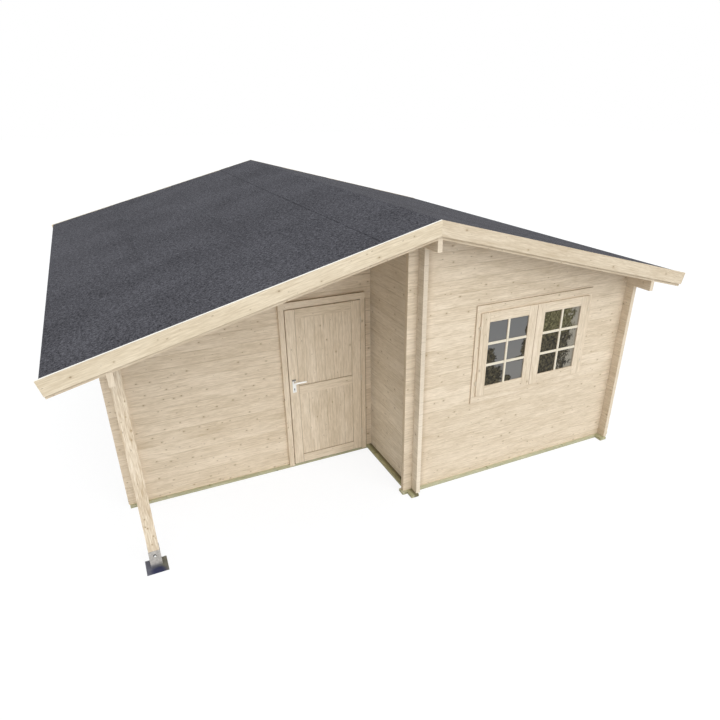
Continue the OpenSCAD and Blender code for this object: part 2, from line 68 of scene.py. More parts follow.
DECK_RUN = FELT_RUN - DECK_BACK
DECK_T = 0.019
FLOOR_X, FLOOR_Y = 2.580, 2.590
FLOOR_Z = 0.028
FLOOR_T = 0.019
POST_X = -2.630
POST_W = 0.092
STILE_W = 0.1
DOOR_STILES = (-0.928, -0.214)
PANEL_X0, PANEL_X1 = -0.878, -0.264
PANEL_BOARDS = 6
LOW_PANEL_Z, HIGH_PANEL_Z = 0.140, 0.990
WINDOW_X = 1.364
SASH_STILES = (0.733, 1.311, 1.417, 1.995)
PANES = ((0.783, 1.261), (1.467, 1.945))
PANE_Z0, PANE_Z1 = 1.068, 1.761

# Boards that the solids leave to the looks, with the V joint between them
ROOF_BOARDS = 61
ROOF_BOARD_W = 2 * INNER_ROOF_Y / ROOF_BOARDS
FLOOR_BOARD_W = 0.0942
JOINT = 0.004


def srgb(red, green, blue):
    """Linear colour of an 8-bit sRGB one."""

    def linear(value):
        c = value / 255
        return c / 12.92 if c <= 0.04045 else ((c + 0.055) / 1.055) ** 2.4

    return (linear(red), linear(green), linear(blue), 1.0)


class Shader:
    """A material with one Principled BSDF and short names for the nodes it takes."""

    BUMP_STRENGTH = 0.6

    def __init__(self, name, roughness, specular=0.2, metallic=0.0):
        self.material = bpy.data.materials.new(name)
        self.material.use_nodes = True
        self.tree = self.material.node_tree
        self.bsdf = self.tree.nodes["Principled BSDF"]
        self.bsdf.inputs["Roughness"].default_value = roughness
        self.bsdf.inputs["Specular IOR Level"].default_value = specular
        self.bsdf.inputs["Metallic"].default_value = metallic
        coords = self.add("ShaderNodeTexCoord")
        self.place = coords.outputs["Object"]
        self.normal = coords.outputs["Normal"]

    def add(self, kind, **settings):
        node = self.tree.nodes.new(kind)
        for key, value in settings.items():
            setattr(node, key, value)
        return node

    def plug(self, value, socket):
        if isinstance(value, bpy.types.NodeSocket):
            self.tree.links.new(value, socket)
        else:
            socket.default_value = value

    def math(self, operation, *values):
        node = self.add("ShaderNodeMath", operation=operation)
        for value, socket in zip(values, node.inputs):
            self.plug(value, socket)
        return node.outputs[0]

    def total(self, *values):
        result = values[0]
        for value in values[1:]:
            result = self.math("ADD", result, value)
        return result

    def less(self, value, taken):
        return self.math("SUBTRACT", value, taken)

    def scaled(self, value, factor, offset=0.0):
        return self.math("MULTIPLY_ADD", value, factor, offset)

    def squares(self, a, b):
        return self.total(self.math("MULTIPLY", a, a), self.math("MULTIPLY", b, b))

    def length(self, a, b):
        return self.math("SQRT", self.squares(a, b))

    def dot(self, vector, axis):
        node = self.add("ShaderNodeVectorMath", operation="DOT_PRODUCT")
        self.plug(vector, node.inputs[0])
        self.plug(axis, node.inputs[1])
        return node.outputs["Value"]

    def vector(self, x, y, z):
        node = self.add("ShaderNodeCombineXYZ")
        for value, socket in zip((x, y, z), node.inputs):
            self.plug(value, socket)
        return node.outputs[0]

    def split(self, vector):
        node = self.add("ShaderNodeSeparateXYZ")
        self.plug(vector, node.inputs[0])
        return node.outputs[0], node.outputs[1], node.outputs[2]

    def noise(self, vector, scale=1.0, detail=2.0):
        node = self.add("ShaderNodeTexNoise")
        self.plug(vector, node.inputs["Vector"])
        node.inputs["Scale"].default_value = scale
        node.inputs["Detail"].default_value = detail
        return node.outputs[0]

    def chance(self, vector):
        """Three random numbers that belong to a point."""
        node = self.add("ShaderNodeTexWhiteNoise", noise_dimensions="3D")
        self.plug(vector, node.inputs["Vector"])
        return self.split(node.outputs["Color"])

    def smooth(self, value, low, high):
        """Rises from 0 at low to 1 at high."""
        node = self.add("ShaderNodeMapRange", interpolation_type="SMOOTHSTEP")
        self.plug(value, node.inputs["Value"])
        node.inputs["From Min"].default_value = low
        node.inputs["From Max"].default_value = high
        return node.outputs["Result"]

    def fade(self, value, low, high):
        """Falls from 1 at low to 0 at high."""
        return self.less(1.0, self.smooth(value, low, high))

    def mix(self, factor, first, second):
        """Colour between two others."""
        node = self.add("ShaderNodeMix", data_type="RGBA")
        self.plug(factor, node.inputs[0])
        self.plug(first, node.inputs[6])
        self.plug(second, node.inputs[7])
        return node.outputs[2]

    def blend(self, factor, first, second):
        """Number between two others."""
        node = self.add("ShaderNodeMix", data_type="FLOAT")
        self.plug(factor, node.inputs[0])
        self.plug(first, node.inputs[2])
        self.plug(second, node.inputs[3])
        return node.outputs[0]

    def near(self, value, line, width):
        """1 on a line, fading to 0 at a width from it."""
        off = self.math("ABSOLUTE", self.less(value, line))
        return self.fade(off, width * 0.25, width)

    def to_edge(self, part):
        """Share of a row from a point to the nearer edge of the row."""
        return self.math("MINIMUM", part, self.less(1.0, part))

    def oval(self, a, b, middle, half):
        """0 in the middle of an oval and 1 on its edge, growing with the square."""
        off_a = self.scaled(a, 1 / half[0], -middle[0] / half[0])
        off_b = self.scaled(b, 1 / half[1], -middle[1] / half[1])
        return self.squares(off_a, off_b)

    def finish(self, color, height=None, depth=0.0005):
        self.plug(color, self.bsdf.inputs["Base Color"])
        if height is not None:
            node = self.add("ShaderNodeBump")
            node.inputs["Strength"].default_value = self.BUMP_STRENGTH
            node.inputs["Distance"].default_value = depth
            self.plug(height, node.inputs["Height"])
            self.plug(node.outputs[0], self.bsdf.inputs["Normal"])
        return self.material


SPRUCE = dict(
    light=srgb(240, 223, 199),
    dark=srgb(197, 177, 148),
    knot=srgb(124, 98, 70),
    # Colour of the seams, also used for painted shade
    seam_and_shade=srgb(136, 113, 85),
    end=srgb(212, 193, 165),
    ring=srgb(198, 178, 148),
)
# A copy with paler log ends, as painted light
LIT_ENDS = dict(SPRUCE, end=srgb(230, 213, 189), ring=srgb(211, 194, 168))
# A paler copy with paler ends, as painted light on the porch side wall
PORCH_SIDE = dict(
    SPRUCE,
    light=srgb(245, 231, 209),
    dark=srgb(205, 188, 161),
    end=srgb(243, 228, 206),
    ring=srgb(226, 210, 186),
)
# A lit and a shaded copy for the gable boards: the right ones darker, as painted shade
BOARDS_LEFT = dict(SPRUCE, light=srgb(239, 223, 196), dark=srgb(201, 182, 152))
BOARDS_RIGHT = dict(SPRUCE, light=srgb(234, 218, 193), dark=srgb(194, 174, 145))
SOFFIT = dict(SPRUCE, light=srgb(214, 195, 168), dark=srgb(172, 151, 122))
POST = dict(
    SPRUCE, light=srgb(252, 238, 215), dark=srgb(190, 165, 132), knot=srgb(132, 106, 78),
)
# A paler, more even copy for the glazing bars, as painted light
BARS = dict(SPRUCE, light=srgb(237, 227, 206), dark=srgb(223, 211, 189))
TREATED = dict(
    light=srgb(208, 204, 174),
    dark=srgb(166, 162, 128),
    knot=srgb(104, 97, 66),
    # Colour of the seams, also used for painted shade
    seam_and_shade=srgb(112, 104, 72),
    end=srgb(190, 185, 150),
    ring=srgb(160, 154, 118),
)
# Treated wood painted darker, as painted shade for the beams in the porch
SHADED = dict(
    TREATED, light=srgb(196, 192, 155), dark=srgb(158, 152, 115), seam_and_shade=srgb(92, 83, 54),
)
# Near white painted on faces that look up, as a painted highlight
PAINTED_TOP_LIGHT = srgb(255, 250, 240)

# A joint line is a dark line or band at a place on an axis: some are real joints, the rest painted
# shade. A shade is painted shade on the faces that look along an axis.
# Both reach from the ground up to a height.
JointOrShadeLine = namedtuple("JointOrShadeLine", "axis at width depth below", defaults=(ANY_HEIGHT,))
Shade = namedtuple("Shade", "axis depth below", defaults=(ANY_HEIGHT,))

# Layers of the grain: scales along and across the wood, and how fine the noise is
Layer = namedtuple("Layer", "along across detail")
WAVE = Layer(2.4, 5.0, 2.0)
CLOUD = Layer(2.6, 9.0, 3.0)
BROAD = Layer(1.3, 27.0, 3.0)
STREAK = Layer(5.5, 105.0, 3.0)
FINE = Layer(16.0, 210.0, 2.0)
WAVE_BEND = 0.034
CLOUD_SHARE, BROAD_SHARE, STREAK_SHARE, FINE_SHARE, ROW_SHARE = 0.20, 0.14, 0.36, 0.30, 0.06
ROW_SHIFT = 61.0

# Spots in the wood: what is added to the seed, the share of a cell's length that one may lie in,
# how much longer than wide it is, the least draw that makes one, and its smallest radius
Spot = namedtuple("Spot", "salt spread stretch least smallest")
KNOT = Spot(0.37, 0.84, 1.4, 0.30, 0.0004)
SPECK = Spot(0.71, 0.8, 2.4, 0.62, 0.0001)
KNOT_SHIFT = 7.0
KNOT_EDGE, HALO_EDGE = (0.25, 1.3), (0.8, 3.4)
KNOT_SHARE, HALO_SHARE = 0.66, 0.10
SPECK_CELL, SPECK_BAND, SPECK_R = 0.07, 0.9, 0.0042
SPECK_EDGE = (0.5, 1.3)
SPECK_SHARE = 0.5
WARM_SHARE = 0.10

# Growth rings on sawn ends
RING_SCALE, RING_DRIFT = 190.0, 6.0
RING_EDGE = (0.32, 0.68)
END_FACING = (0.6, 0.8)
END_SHARE = 0.75

# Seams between rows, which come and go, and beads within a row
SEAM_RUN = 3.6
SEAM_EDGE = (0.42, 0.66)
SEAM_LEAST, SEAM_MORE = 0.10, 0.42
BEAD_EDGE = (0.001, 0.004)
BEAD_SHARE = 0.14

FACE_LIMIT = 0.9
TOP_LIMIT, TOP_SHARE = 0.8, 0.8
WOOD_ROUGHNESS = 0.62
WOOD_BUMP = 0.0003


def wood(name, along, across, start, pitch, seed, tint, groove=0.0, knots=0.20, knot_r=0.0070,
         band=0.7, upright=None, contrast=0.20, density=1.0, lines=(), beads=0, faces=(),
         folded=False, lit_top=False):
    """Boards or logs along an axis, in rows of a pitch across it, each with its own tone and knots.

    start is where the rows begin, seed what their draws come from, and groove how wide the dark
    line between them is. A knot comes about every knots metres, within the middle band of its row.
    upright gives where the boards run across instead, and the start of their rows. beads is the
    count of fine lines in each row. lines has the dark joints and the lines of painted shade, and
    faces the painted shade on faces. folded lays the left slope on the right one, and lit_top
    paints a highlight on what looks up.
    """
    s = Shader(name, WOOD_ROUGHNESS)
    if folded:
        x, y, z = s.split(s.place)
        s.place = s.vector(s.math("ABSOLUTE", x), y, z)
    u = s.dot(s.place, along)
    v = s.dot(s.place, across)
    w = s.dot(s.place, tuple(Vector(along).cross(Vector(across))))
    height = s.dot(s.place, Z)
    first = start
    if upright is not None:
        mask, upright_start = upright(s)
        u, v = s.blend(mask, u, v), s.blend(mask, v, u)
        first = s.blend(mask, start, upright_start)
    rows = s.math("DIVIDE", s.less(v, first), pitch)
    row = s.math("FLOOR", rows)
    in_row = s.less(rows, row)
    walls = s.scaled(w, 1.0, 0.5)
    wall = s.math("FLOOR", walls)
    shift, tone, warmth = s.chance(s.vector(row, wall, seed))
    far = s.scaled(shift, ROW_SHIFT)

    def layer(kind, side_v, side_w, finer_u=1.0, finer=1.0):
        run = s.scaled(u, kind.along * finer_u, far)
        wide = kind.across * finer
        place = s.vector(run, s.scaled(side_v, wide), s.scaled(side_w, wide))
        return s.noise(place, detail=kind.detail)

    lean = s.scaled(layer(WAVE, v, w), WAVE_BEND, -WAVE_BEND / 2)
    bent_v, bent_w = s.total(v, lean), s.total(w, lean)
    cloud = layer(CLOUD, v, w)
    broad = layer(BROAD, bent_v, bent_w, finer=density)
    streak = layer(STREAK, bent_v, bent_w, finer_u=density, finer=density)
    fine = layer(FINE, bent_v, bent_w)
    grain = s.total(
        s.scaled(cloud, CLOUD_SHARE), s.scaled(broad, BROAD_SHARE), s.scaled(streak, STREAK_SHARE),
        s.scaled(fine, FINE_SHARE), s.scaled(tone, ROW_SHARE, -ROW_SHARE / 2),
    )

    def spots(kind, cells, cell_length, within, radius):
        """Distance from the spot in a point's cell, counted in that spot's radius."""
        cell = s.math("FLOOR", cells)
        spot_u, spot_v, size = s.chance(s.vector(cell, row, s.total(wall, seed + kind.salt)))
        off_u = s.less(s.less(cells, cell), s.scaled(spot_u, kind.spread, (1 - kind.spread) / 2))
        off_v = s.less(in_row, s.scaled(spot_v, within, (1 - within) / 2))
        off = s.length(s.scaled(off_u, cell_length / kind.stretch), s.scaled(off_v, pitch))
        spot_r = s.scaled(s.smooth(size, kind.least, 1.0), radius, kind.smallest)
        return s.math("DIVIDE", off, spot_r)

    knot_cells = s.total(s.math("DIVIDE", u, knots), s.scaled(shift, KNOT_SHIFT))
    from_knot = spots(KNOT, knot_cells, knots, band, knot_r)
    from_speck = spots(SPECK, s.math("DIVIDE", u, SPECK_CELL), SPECK_CELL, SPECK_BAND, SPECK_R)
    halo = s.fade(from_knot, *HALO_EDGE)
    tilt = s.smooth(s.total(grain, s.scaled(halo, HALO_SHARE)), 0.5 - contrast, 0.5 + contrast)
    color = s.mix(tilt, tint["light"], tint["dark"])
    color = s.mix(s.scaled(warmth, WARM_SHARE), color, tint["end"])
    color = s.mix(s.scaled(s.fade(from_knot, *KNOT_EDGE), KNOT_SHARE), color, tint["knot"])
    color = s.mix(s.scaled(s.fade(from_speck, *SPECK_EDGE), SPECK_SHARE), color, tint["knot"])

    if upright is None:
        pith_v = s.less(s.scaled(in_row, pitch), s.scaled(tone, pitch))
        pith_w = s.scaled(s.less(walls, wall), 1.0, -0.5)
        ring = s.scaled(s.length(pith_v, pith_w), RING_SCALE)
        rings = s.noise(s.vector(ring, far, s.scaled(v, RING_DRIFT)))
        sawn = s.mix(s.smooth(rings, *RING_EDGE), tint["end"], tint["ring"])
        facing = s.smooth(s.math("ABSOLUTE", s.dot(s.normal, along)), *END_FACING)
        color = s.mix(s.scaled(facing, END_SHARE), color, sawn)
    if groove:
        gap = s.fade(s.scaled(s.to_edge(in_row), pitch), groove * 0.2, groove)
        broken = s.smooth(s.noise(s.vector(s.scaled(u, SEAM_RUN, far), row, wall)), *SEAM_EDGE)
        gap = s.math("MULTIPLY", gap, s.scaled(broken, SEAM_MORE, SEAM_LEAST))
        color = s.mix(gap, color, tint["seam_and_shade"])
    if beads:
        part = s.math("FRACT", s.scaled(rows, beads))
        gap = s.fade(s.scaled(s.to_edge(part), pitch / beads), *BEAD_EDGE)
        color = s.mix(s.scaled(gap, BEAD_SHARE), color, tint["seam_and_shade"])
    # Dark joints, and lines and bands of painted shade
    for joint in lines:
        line = s.near(s.dot(s.place, joint.axis), joint.at, joint.width)
        line = s.math("MULTIPLY", line, s.math("LESS_THAN", height, joint.below))
        color = s.mix(s.scaled(line, joint.depth), color, tint["seam_and_shade"])
    # Painted shade on faces that look along an axis
    for shade in faces:
        facing = s.math("GREATER_THAN", s.dot(s.normal, shade.axis), FACE_LIMIT)
        dark = s.math("MULTIPLY", facing, s.math("LESS_THAN", height, shade.below))
        color = s.mix(s.scaled(dark, shade.depth), color, tint["seam_and_shade"])
    # Faces that look up are made paler as a painted highlight
    if lit_top:
        facing = s.math("GREATER_THAN", s.dot(s.normal, Z), TOP_LIMIT)
        color = s.mix(s.scaled(facing, TOP_SHARE), color, PAINTED_TOP_LIGHT)
    return s.finish(color, s.total(streak, fine), WOOD_BUMP)


def stiles(places, rows):
    """Where a frame's upright pieces are: bands of x, with the start of their rows."""

    def mask(s):
        x = s.dot(s.place, X)
        inside = 0.0
        for middle in places:
            off = s.math("ABSOLUTE", s.less(x, middle))
            inside = s.total(s.math("LESS_THAN", off, STILE_W / 2), inside)
        return inside, rows

    return mask


def sides_of_trim(low, high, rows):
    """Where a ring of cover boards is upright: between two heights."""

    def mask(s):
        z = s.dot(s.place, Z)
        above = s.math("GREATER_THAN", z, low)
        below = s.math("LESS_THAN", z, high)
        return s.math("MULTIPLY", above, below), rows

    return mask


CROSS_LOGS = dict(along=X, across=Z, start=CROSS_SEAM, pitch=LOG_H, seed=3, tint=SPRUCE)
SIDE_LOGS = dict(along=Y, across=Z, start=SIDE_SEAM, pitch=LOG_H, seed=11, groove=0.0035)
GABLE_BOARDS = dict(start=BOARD_ROW, pitch=BOARD_W, knots=0.3)
RIGHT_SLOPE = dict(along=RIGHT_ALONG, across=RIGHT_ACROSS)
LEFT_SLOPE = dict(along=LEFT_ALONG, across=LEFT_ACROSS)
ROOF_ROWS = dict(across=Y, start=-INNER_ROOF_Y, pitch=ROOF_BOARD_W, tint=SOFFIT, knots=0.6)
DOOR_RAILS = dict(along=X, across=Z, start=-0.07, pitch=0.3, tint=SPRUCE, knots=0.3, band=0.3)
BEAMS = dict(across=Z, start=-0.02, pitch=0.08, knots=0.5)

cross_logs = wood("spruce_cross_logs", **CROSS_LOGS, groove=0.0035, knots=0.11, knot_r=0.0056)
front_logs = wood(
    "spruce_front_logs", **CROSS_LOGS, groove=0.003, knots=0.18, knot_r=0.006,
    # Painted shade: the front wall darker near its left corner
    lines=[JointOrShadeLine(X, at=0.040, width=0.10, depth=0.34)],
)
porch_logs = wood(
    "spruce_porch_logs", **CROSS_LOGS, groove=0.006,
    # Painted shade: a dark line on the wall beside the door trim, below its top
    lines=[JointOrShadeLine(X, at=-0.086, width=0.010, depth=0.6, below=1.84)],
)
side_logs = wood("spruce_side_logs", **SIDE_LOGS, tint=LIT_ENDS)
porch_side_logs = wood(
    "spruce_porch_side_logs", **SIDE_LOGS, tint=PORCH_SIDE,
    # Painted shade: darker towards the top, under the porch roof
    lines=[JointOrShadeLine(Z, at=2.20, width=1.70, depth=0.24)],
)
post_wood = wood(
    "spruce_post", along=Z, across=X, start=POST_X, pitch=POST_W, seed=19, tint=POST,
    knots=0.07, knot_r=0.0045, contrast=0.19, density=1.5,
)
board_right = wood(
    "spruce_boards_right", **RIGHT_SLOPE, **GABLE_BOARDS, seed=23, tint=BOARDS_RIGHT,
)
board_left = wood(
    # Its faces that look up get a painted highlight
    "spruce_boards_left", **LEFT_SLOPE, **GABLE_BOARDS, seed=29, tint=BOARDS_LEFT, lit_top=True,
)
inner_board = wood(
    "spruce_inner_boards", **RIGHT_SLOPE, **GABLE_BOARDS, seed=27, tint=BOARDS_RIGHT, folded=True,
    # Painted shadow of the outer board, a line along the inner boards' upper edge
    lines=[JointOrShadeLine(RIGHT_ACROSS, at=BOARD_ROW - 0.010, width=0.008, depth=0.25)],
)
soffit_right = wood("spruce_roof_right", along=RIGHT_ALONG, seed=31, **ROOF_ROWS)
soffit_left = wood("spruce_roof_left", along=LEFT_ALONG, seed=37, **ROOF_ROWS)
floor_wood = wood(
    "spruce_floor", along=X, across=Y, start=-FLOOR_Y, pitch=FLOOR_BOARD_W, seed=41, tint=SPRUCE,
    knots=0.6,
)
door_trim = wood(
    "spruce_door_trim", along=Z, across=X, start=-1.075, pitch=0.126, seed=43, tint=SPRUCE,
    knots=0.4, band=0.3,
    # Painted shade: dark lines along both edges of the right trim
    lines=[
        JointOrShadeLine(X, at=-0.1570, width=0.005, depth=0.6),
        JointOrShadeLine(X, at=-0.1025, width=0.004, depth=0.6),
    ],
)
# Painted shade on its faces that look up
door_rail = wood("spruce_door_rail", **DOOR_RAILS, seed=47, faces=[Shade(Z, depth=0.7)])
door_frame = wood(
    "spruce_door_leaf", **DOOR_RAILS, seed=53, upright=stiles(DOOR_STILES, rows=-1.17),
    lines=[
        JointOrShadeLine(X, at=PANEL_X0, width=0.004, depth=0.65),
        JointOrShadeLine(X, at=PANEL_X1, width=0.003, depth=0.35),
    ],
    # Painted shade on the faces that look up, below the top of the leaf
    faces=[Shade(Z, depth=0.75, below=1.80)],
)
door_board = wood(
    "spruce_door_boards", along=Z, across=X, start=PANEL_X0,
    pitch=(PANEL_X1 - PANEL_X0) / PANEL_BOARDS, seed=59, tint=SPRUCE,
    groove=0.003, knots=0.4, beads=3,
    # Painted shade along the lower edges of the panels; a dark joint at their left edge
    lines=[
        JointOrShadeLine(Z, at=LOW_PANEL_Z, width=0.010, depth=0.4),
        JointOrShadeLine(Z, at=HIGH_PANEL_Z, width=0.010, depth=0.45),
        JointOrShadeLine(X, at=PANEL_X0, width=0.008, depth=0.6),
    ],
)
sash_wood = wood(
    "spruce_sash", along=X, across=Z, start=0.915, pitch=0.2, seed=61, tint=SPRUCE,
    knots=0.35, band=0.3, upright=stiles(SASH_STILES, rows=0.62),
    lines=[JointOrShadeLine(X, at=edge, width=0.003, depth=0.3) for pane in PANES for edge in pane],
    # Painted shade on the faces that look up
    faces=[Shade(Z, depth=0.25)],
)
window_trim = wood(
    "spruce_window_trim", along=X, across=Z, start=0.890, pitch=0.077, seed=67, tint=SPRUCE,
    knots=0.4, upright=sides_of_trim(0.967, 1.862, rows=0.618),
    # Painted shade on the faces that look left and up
    faces=[Shade(LEFT_SIDE, depth=0.35), Shade(Z, depth=0.85)],
)
beam_cross = wood(
    "treated_cross_beams", along=X, seed=71, tint=TREATED, **BEAMS,
    # Painted shade on the faces that look to the front
    faces=[Shade(FRONT, depth=0.15)],
)
beam_side = wood(
    "treated_side_beams", along=Y, seed=73, tint=SHADED, **BEAMS,
    # Painted shade: darker near the wall
    lines=[JointOrShadeLine(X, at=-0.022, width=0.050, depth=0.8)],
)
bar_wood = wood(
    "spruce_bars", along=X, across=Z, start=0.9, pitch=0.25, seed=79, tint=BARS,
    knots=0.9, knot_r=0.004,
)


def felt_material():
    """Granulated roofing felt, with a paler line painted along its second lap as painted light that
    softens the shadow there.
    """
    s = Shader("granulated_felt", roughness=0.95, specular=0.1)
    grit = s.noise(s.place, scale=230.0)
    chips = s.noise(s.place, scale=108.0)
    patch = s.noise(s.place, scale=48.0, detail=3.0)
    cloud = s.noise(s.place, scale=1.7)
    tone = s.total(
        s.scaled(grit, 0.30), s.scaled(chips, 0.35), s.scaled(patch, 0.35),
        s.scaled(cloud, 0.08, -0.04),
    )
    color = s.mix(s.smooth(tone, 0.36, 0.67), srgb(36, 35, 38), srgb(106, 104, 108))
    x, _, z = s.split(s.place)
    drop = s.scaled(s.less(APEX_Z, z), SLOPE_SIN)
    run = s.total(s.scaled(s.math("ABSOLUTE", x), SLOPE_COS), drop)
    # Painted light along the second lap, against the shadow of its step
    lap = s.near(run, line=FELT_RUN - 2 * FELT_PITCH + 0.001, width=0.008)
    color = s.mix(s.scaled(lap, 0.17), color, srgb(112, 110, 114))
    return s.finish(color, grit, depth=0.0012)


def foot_material():
    """Hot-dip zinc: pale uprights, and a base plate that is darker and bluer to the left, darkest
    in a blue-grey patch before the post.
    """
    s = Shader("galvanised_foot", roughness=0.5, specular=0.25, metallic=0.1)
    x, y, z = s.split(s.place)
    flake = s.noise(s.place, scale=60.0, detail=3.0)
    cloud = s.noise(s.place, scale=14.0)
    pale = s.mix(s.smooth(flake, 0.35, 0.65), srgb(170, 164, 157), srgb(190, 184, 176))
    # The base plate darker, bluer to the left
    across = s.smooth(s.total(x, s.scaled(cloud, 0.06, -0.03)), -2.64, -2.53)
    dark_base = s.mix(across, srgb(102, 102, 111), srgb(122, 120, 108))
    # A darker blue-grey patch on the base plate before the post
    dark_patch = s.oval(x, y, middle=(-2.575, -2.705), half=(0.075, 0.060))
    dark_patch = s.total(dark_patch, s.scaled(cloud, 0.8, -0.4))
    dark_base = s.mix(s.smooth(dark_patch, 0.1, 1.5), srgb(54, 57, 84), dark_base)
    color = s.mix(s.smooth(z, 0.008, 0.060), dark_base, pale)
    return s.finish(color, flake, depth=0.0003)


def metal_material(name, low, high, roughness, metallic, head=None):
    """Brushed metal between two tones. head is a third tone painted on its top as a painted
    reflection, and where.
    """
    s = Shader(name, roughness, specular=0.5, metallic=metallic)
    streak = s.noise(s.place, scale=300.0)
    color = s.mix(s.smooth(streak, 0.3, 0.7), low, high)
    if head is not None:
        tone, head_low, head_high = head
        # The head tone is a painted reflection
        color = s.mix(s.smooth(s.dot(s.place, Z), head_low, head_high), color, tone)
    return s.finish(color, streak, depth=0.0001)


Tree = namedtuple("Tree", "x z half_w half_h rough")
LEFT_TREES = (
    Tree(0.77, 1.34, 0.13, 0.15, 1.3),
    Tree(0.83, 1.13, 0.19, 0.17, 0.7),
    Tree(1.06, 1.09, 0.06, 0.05, 0.8),
    Tree(1.27, 1.41, 0.06, 0.09, 1.6),
    Tree(1.20, 1.30, 0.07, 0.03, 1.2),
    Tree(1.27, 1.60, 0.03, 0.05, 0.8),
)
RIGHT_TREES = (Tree(1.46, 1.44, 0.42, 0.95, 1.0),)
EDGE_RAGGED, LEAF_RAGGED = 1.6, 2.4
LEAF_TONES = (0.40, 0.62)


def glass_material():
    """Panes with a painted reflection of a grey sky over dark leafy trees."""
    s = Shader("window_glass", roughness=0.06)
    s.bsdf.inputs["Transmission Weight"].default_value = 0.12
    s.bsdf.inputs["IOR"].default_value = 1.45
    x, _, z = s.split(s.place)
    edge = s.noise(s.place, scale=16.0, detail=4.0)
    twigs = s.noise(s.place, scale=48.0, detail=3.0)
    leaves = s.noise(s.place, scale=140.0, detail=5.0)
    leaf = s.total(s.scaled(twigs, 0.5), s.scaled(leaves, 0.5))

    def trees(places):
        found = 0.0
        for tree in places:
            crown = s.oval(x, z, (tree.x, tree.z), (tree.half_w, tree.half_h))
            for ragged, noise in ((EDGE_RAGGED, edge), (LEAF_RAGGED, leaf)):
                swing = ragged * tree.rough
                crown = s.total(crown, s.scaled(noise, swing, -swing / 2))
            found = s.math("MAXIMUM", s.fade(crown, 0.80, 1.10), found)
        return found

    on_right = s.math("GREATER_THAN", x, WINDOW_X)
    leafy = s.blend(on_right, trees(LEFT_TREES), trees(RIGHT_TREES))
    left_sky = s.mix(s.smooth(z, 1.1, 1.75), srgb(124, 121, 116), srgb(114, 113, 111))
    sky = s.mix(s.smooth(x, 1.36, 1.70), left_sky, srgb(150, 143, 128))
    dark = s.mix(s.smooth(leaf, *LEAF_TONES), srgb(24, 20, 12), srgb(90, 82, 60))
    green = s.mix(s.smooth(leaf, *LEAF_TONES), srgb(58, 53, 28), srgb(122, 115, 80))
    # A painted pool of light on the reflected trees of the upper right sash
    sunlit = s.math("MULTIPLY", s.smooth(z, 1.42, 1.62), s.smooth(x, 1.36, 1.40))
    return s.finish(s.mix(leafy, sky, s.mix(sunlit, dark, green)))


felt = felt_material()
foot_zinc = foot_material()
zinc = metal_material("galvanised_fittings", srgb(150, 150, 148), srgb(184, 184, 180), 0.4, 0.7)
# The handle plate has a painted reflection of the dark porch roof at its head
plate_metal = metal_material(
    "satin_plate", srgb(236, 235, 231), srgb(247, 246, 242), 0.28, 0.6,
    head=(srgb(118, 115, 110), 1.054, 1.066),
)
hinge_metal = metal_material("pale_hinges", srgb(208, 196, 174), srgb(222, 211, 190), 0.45, 0.2)
handle_metal = metal_material("satin_handle", srgb(234, 233, 229), srgb(246, 245, 241), 0.28, 0.6)
# Near black for the shade inside keyholes and bolt holes, painted on discs
painted_hole_shade = metal_material("painted_hole_shade", srgb(26, 25, 25), srgb(40, 39, 38), 0.6, 0.2)
glass = glass_material()

LOOKS = {
    cross_logs: ["back_wall", "recess_wall_left", "recess_wall_top"],
    front_logs: ["front_wall"],
    porch_logs: ["recess_wall_right"],
    side_logs: ["left_wall", "right_wall", "left_purlin", "right_purlin", "ridge_purlin"],
    porch_side_logs: ["porch_side_wall"],
    post_wood: ["porch_post"],
    board_left: ["gable_board_front_left", "gable_board_back_left"],
    board_right: ["gable_board_front_right", "gable_board_back_right"],
    inner_board: ["inner_gable_boards_front", "inner_gable_boards_back"],
    door_trim: ["door_side_trim", "door_jambs"],
    door_rail: ["door_top_trim", "door_head_and_sill"],
    door_frame: ["door_leaf"],
    door_board: ["door_panels"],
    sash_wood: ["left_sash", "right_sash", "window_frame"],
    window_trim: ["window_trim"],
    beam_cross: ["cross_beams"],
    beam_side: ["side_beams", "floor_joists"],
    felt: ["roof_felt_left", "roof_felt_right", "ridge_felt"],
    foot_zinc: ["post_foot"],
    hinge_metal: ["hinge_pins", "hinge_knuckles", "window_hinges"],
    plate_metal: ["door_handle_plates"],
    handle_metal: ["door_lever"],
    glass: ["window_glass"],
}
for look, names in LOOKS.items():
    for name in names:
        mesh = nodes[name].data
        mesh.materials.clear()
        mesh.materials.append(look)

# Arrises of planed pieces are eased
EASED_PIECES = (
    "porch_post",
    "gable_board_front_left", "gable_board_front_right",
    "gable_board_back_left", "gable_board_back_right",
    "door_side_trim", "door_top_trim", "door_leaf",
    "left_sash", "right_sash", "window_trim",
    "cross_beams", "side_beams",
)
for name in EASED_PIECES:
    eased = nodes[name].modifiers.new("eased_edges", "BEVEL")
    eased.width = 0.002
    eased.segments = 2
    eased.limit_method = "ANGLE"
    eased.angle_limit = math.radians(50)


def piece(name, parts, look, body, slot, *stands_for):
    """One mesh of closed prisms. Each part is two loops of points that face one another."""
    grid = bmesh.new()
    for loop_a, loop_b in parts:
        a = [grid.verts.new(p) for p in loop_a]
        b = [grid.verts.new(p) for p in loop_b]
        grid.faces.new(a)
        grid.faces.new(b[::-1])
        for k in range(len(a)):
            j = (k + 1) % len(a)
            grid.faces.new((a[j], a[k], b[k], b[j]))
    bmesh.ops.recalc_face_normals(grid, faces=grid.faces)
    mesh = bpy.data.meshes.new(name)
    grid.to_mesh(mesh)
    grid.free()
    mesh.materials.append(look)
    obj = bpy.data.objects.new(name, mesh)
    scene.collection.objects.link(obj)
    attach(obj, body)
    if stands_for:
        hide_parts(*stands_for)


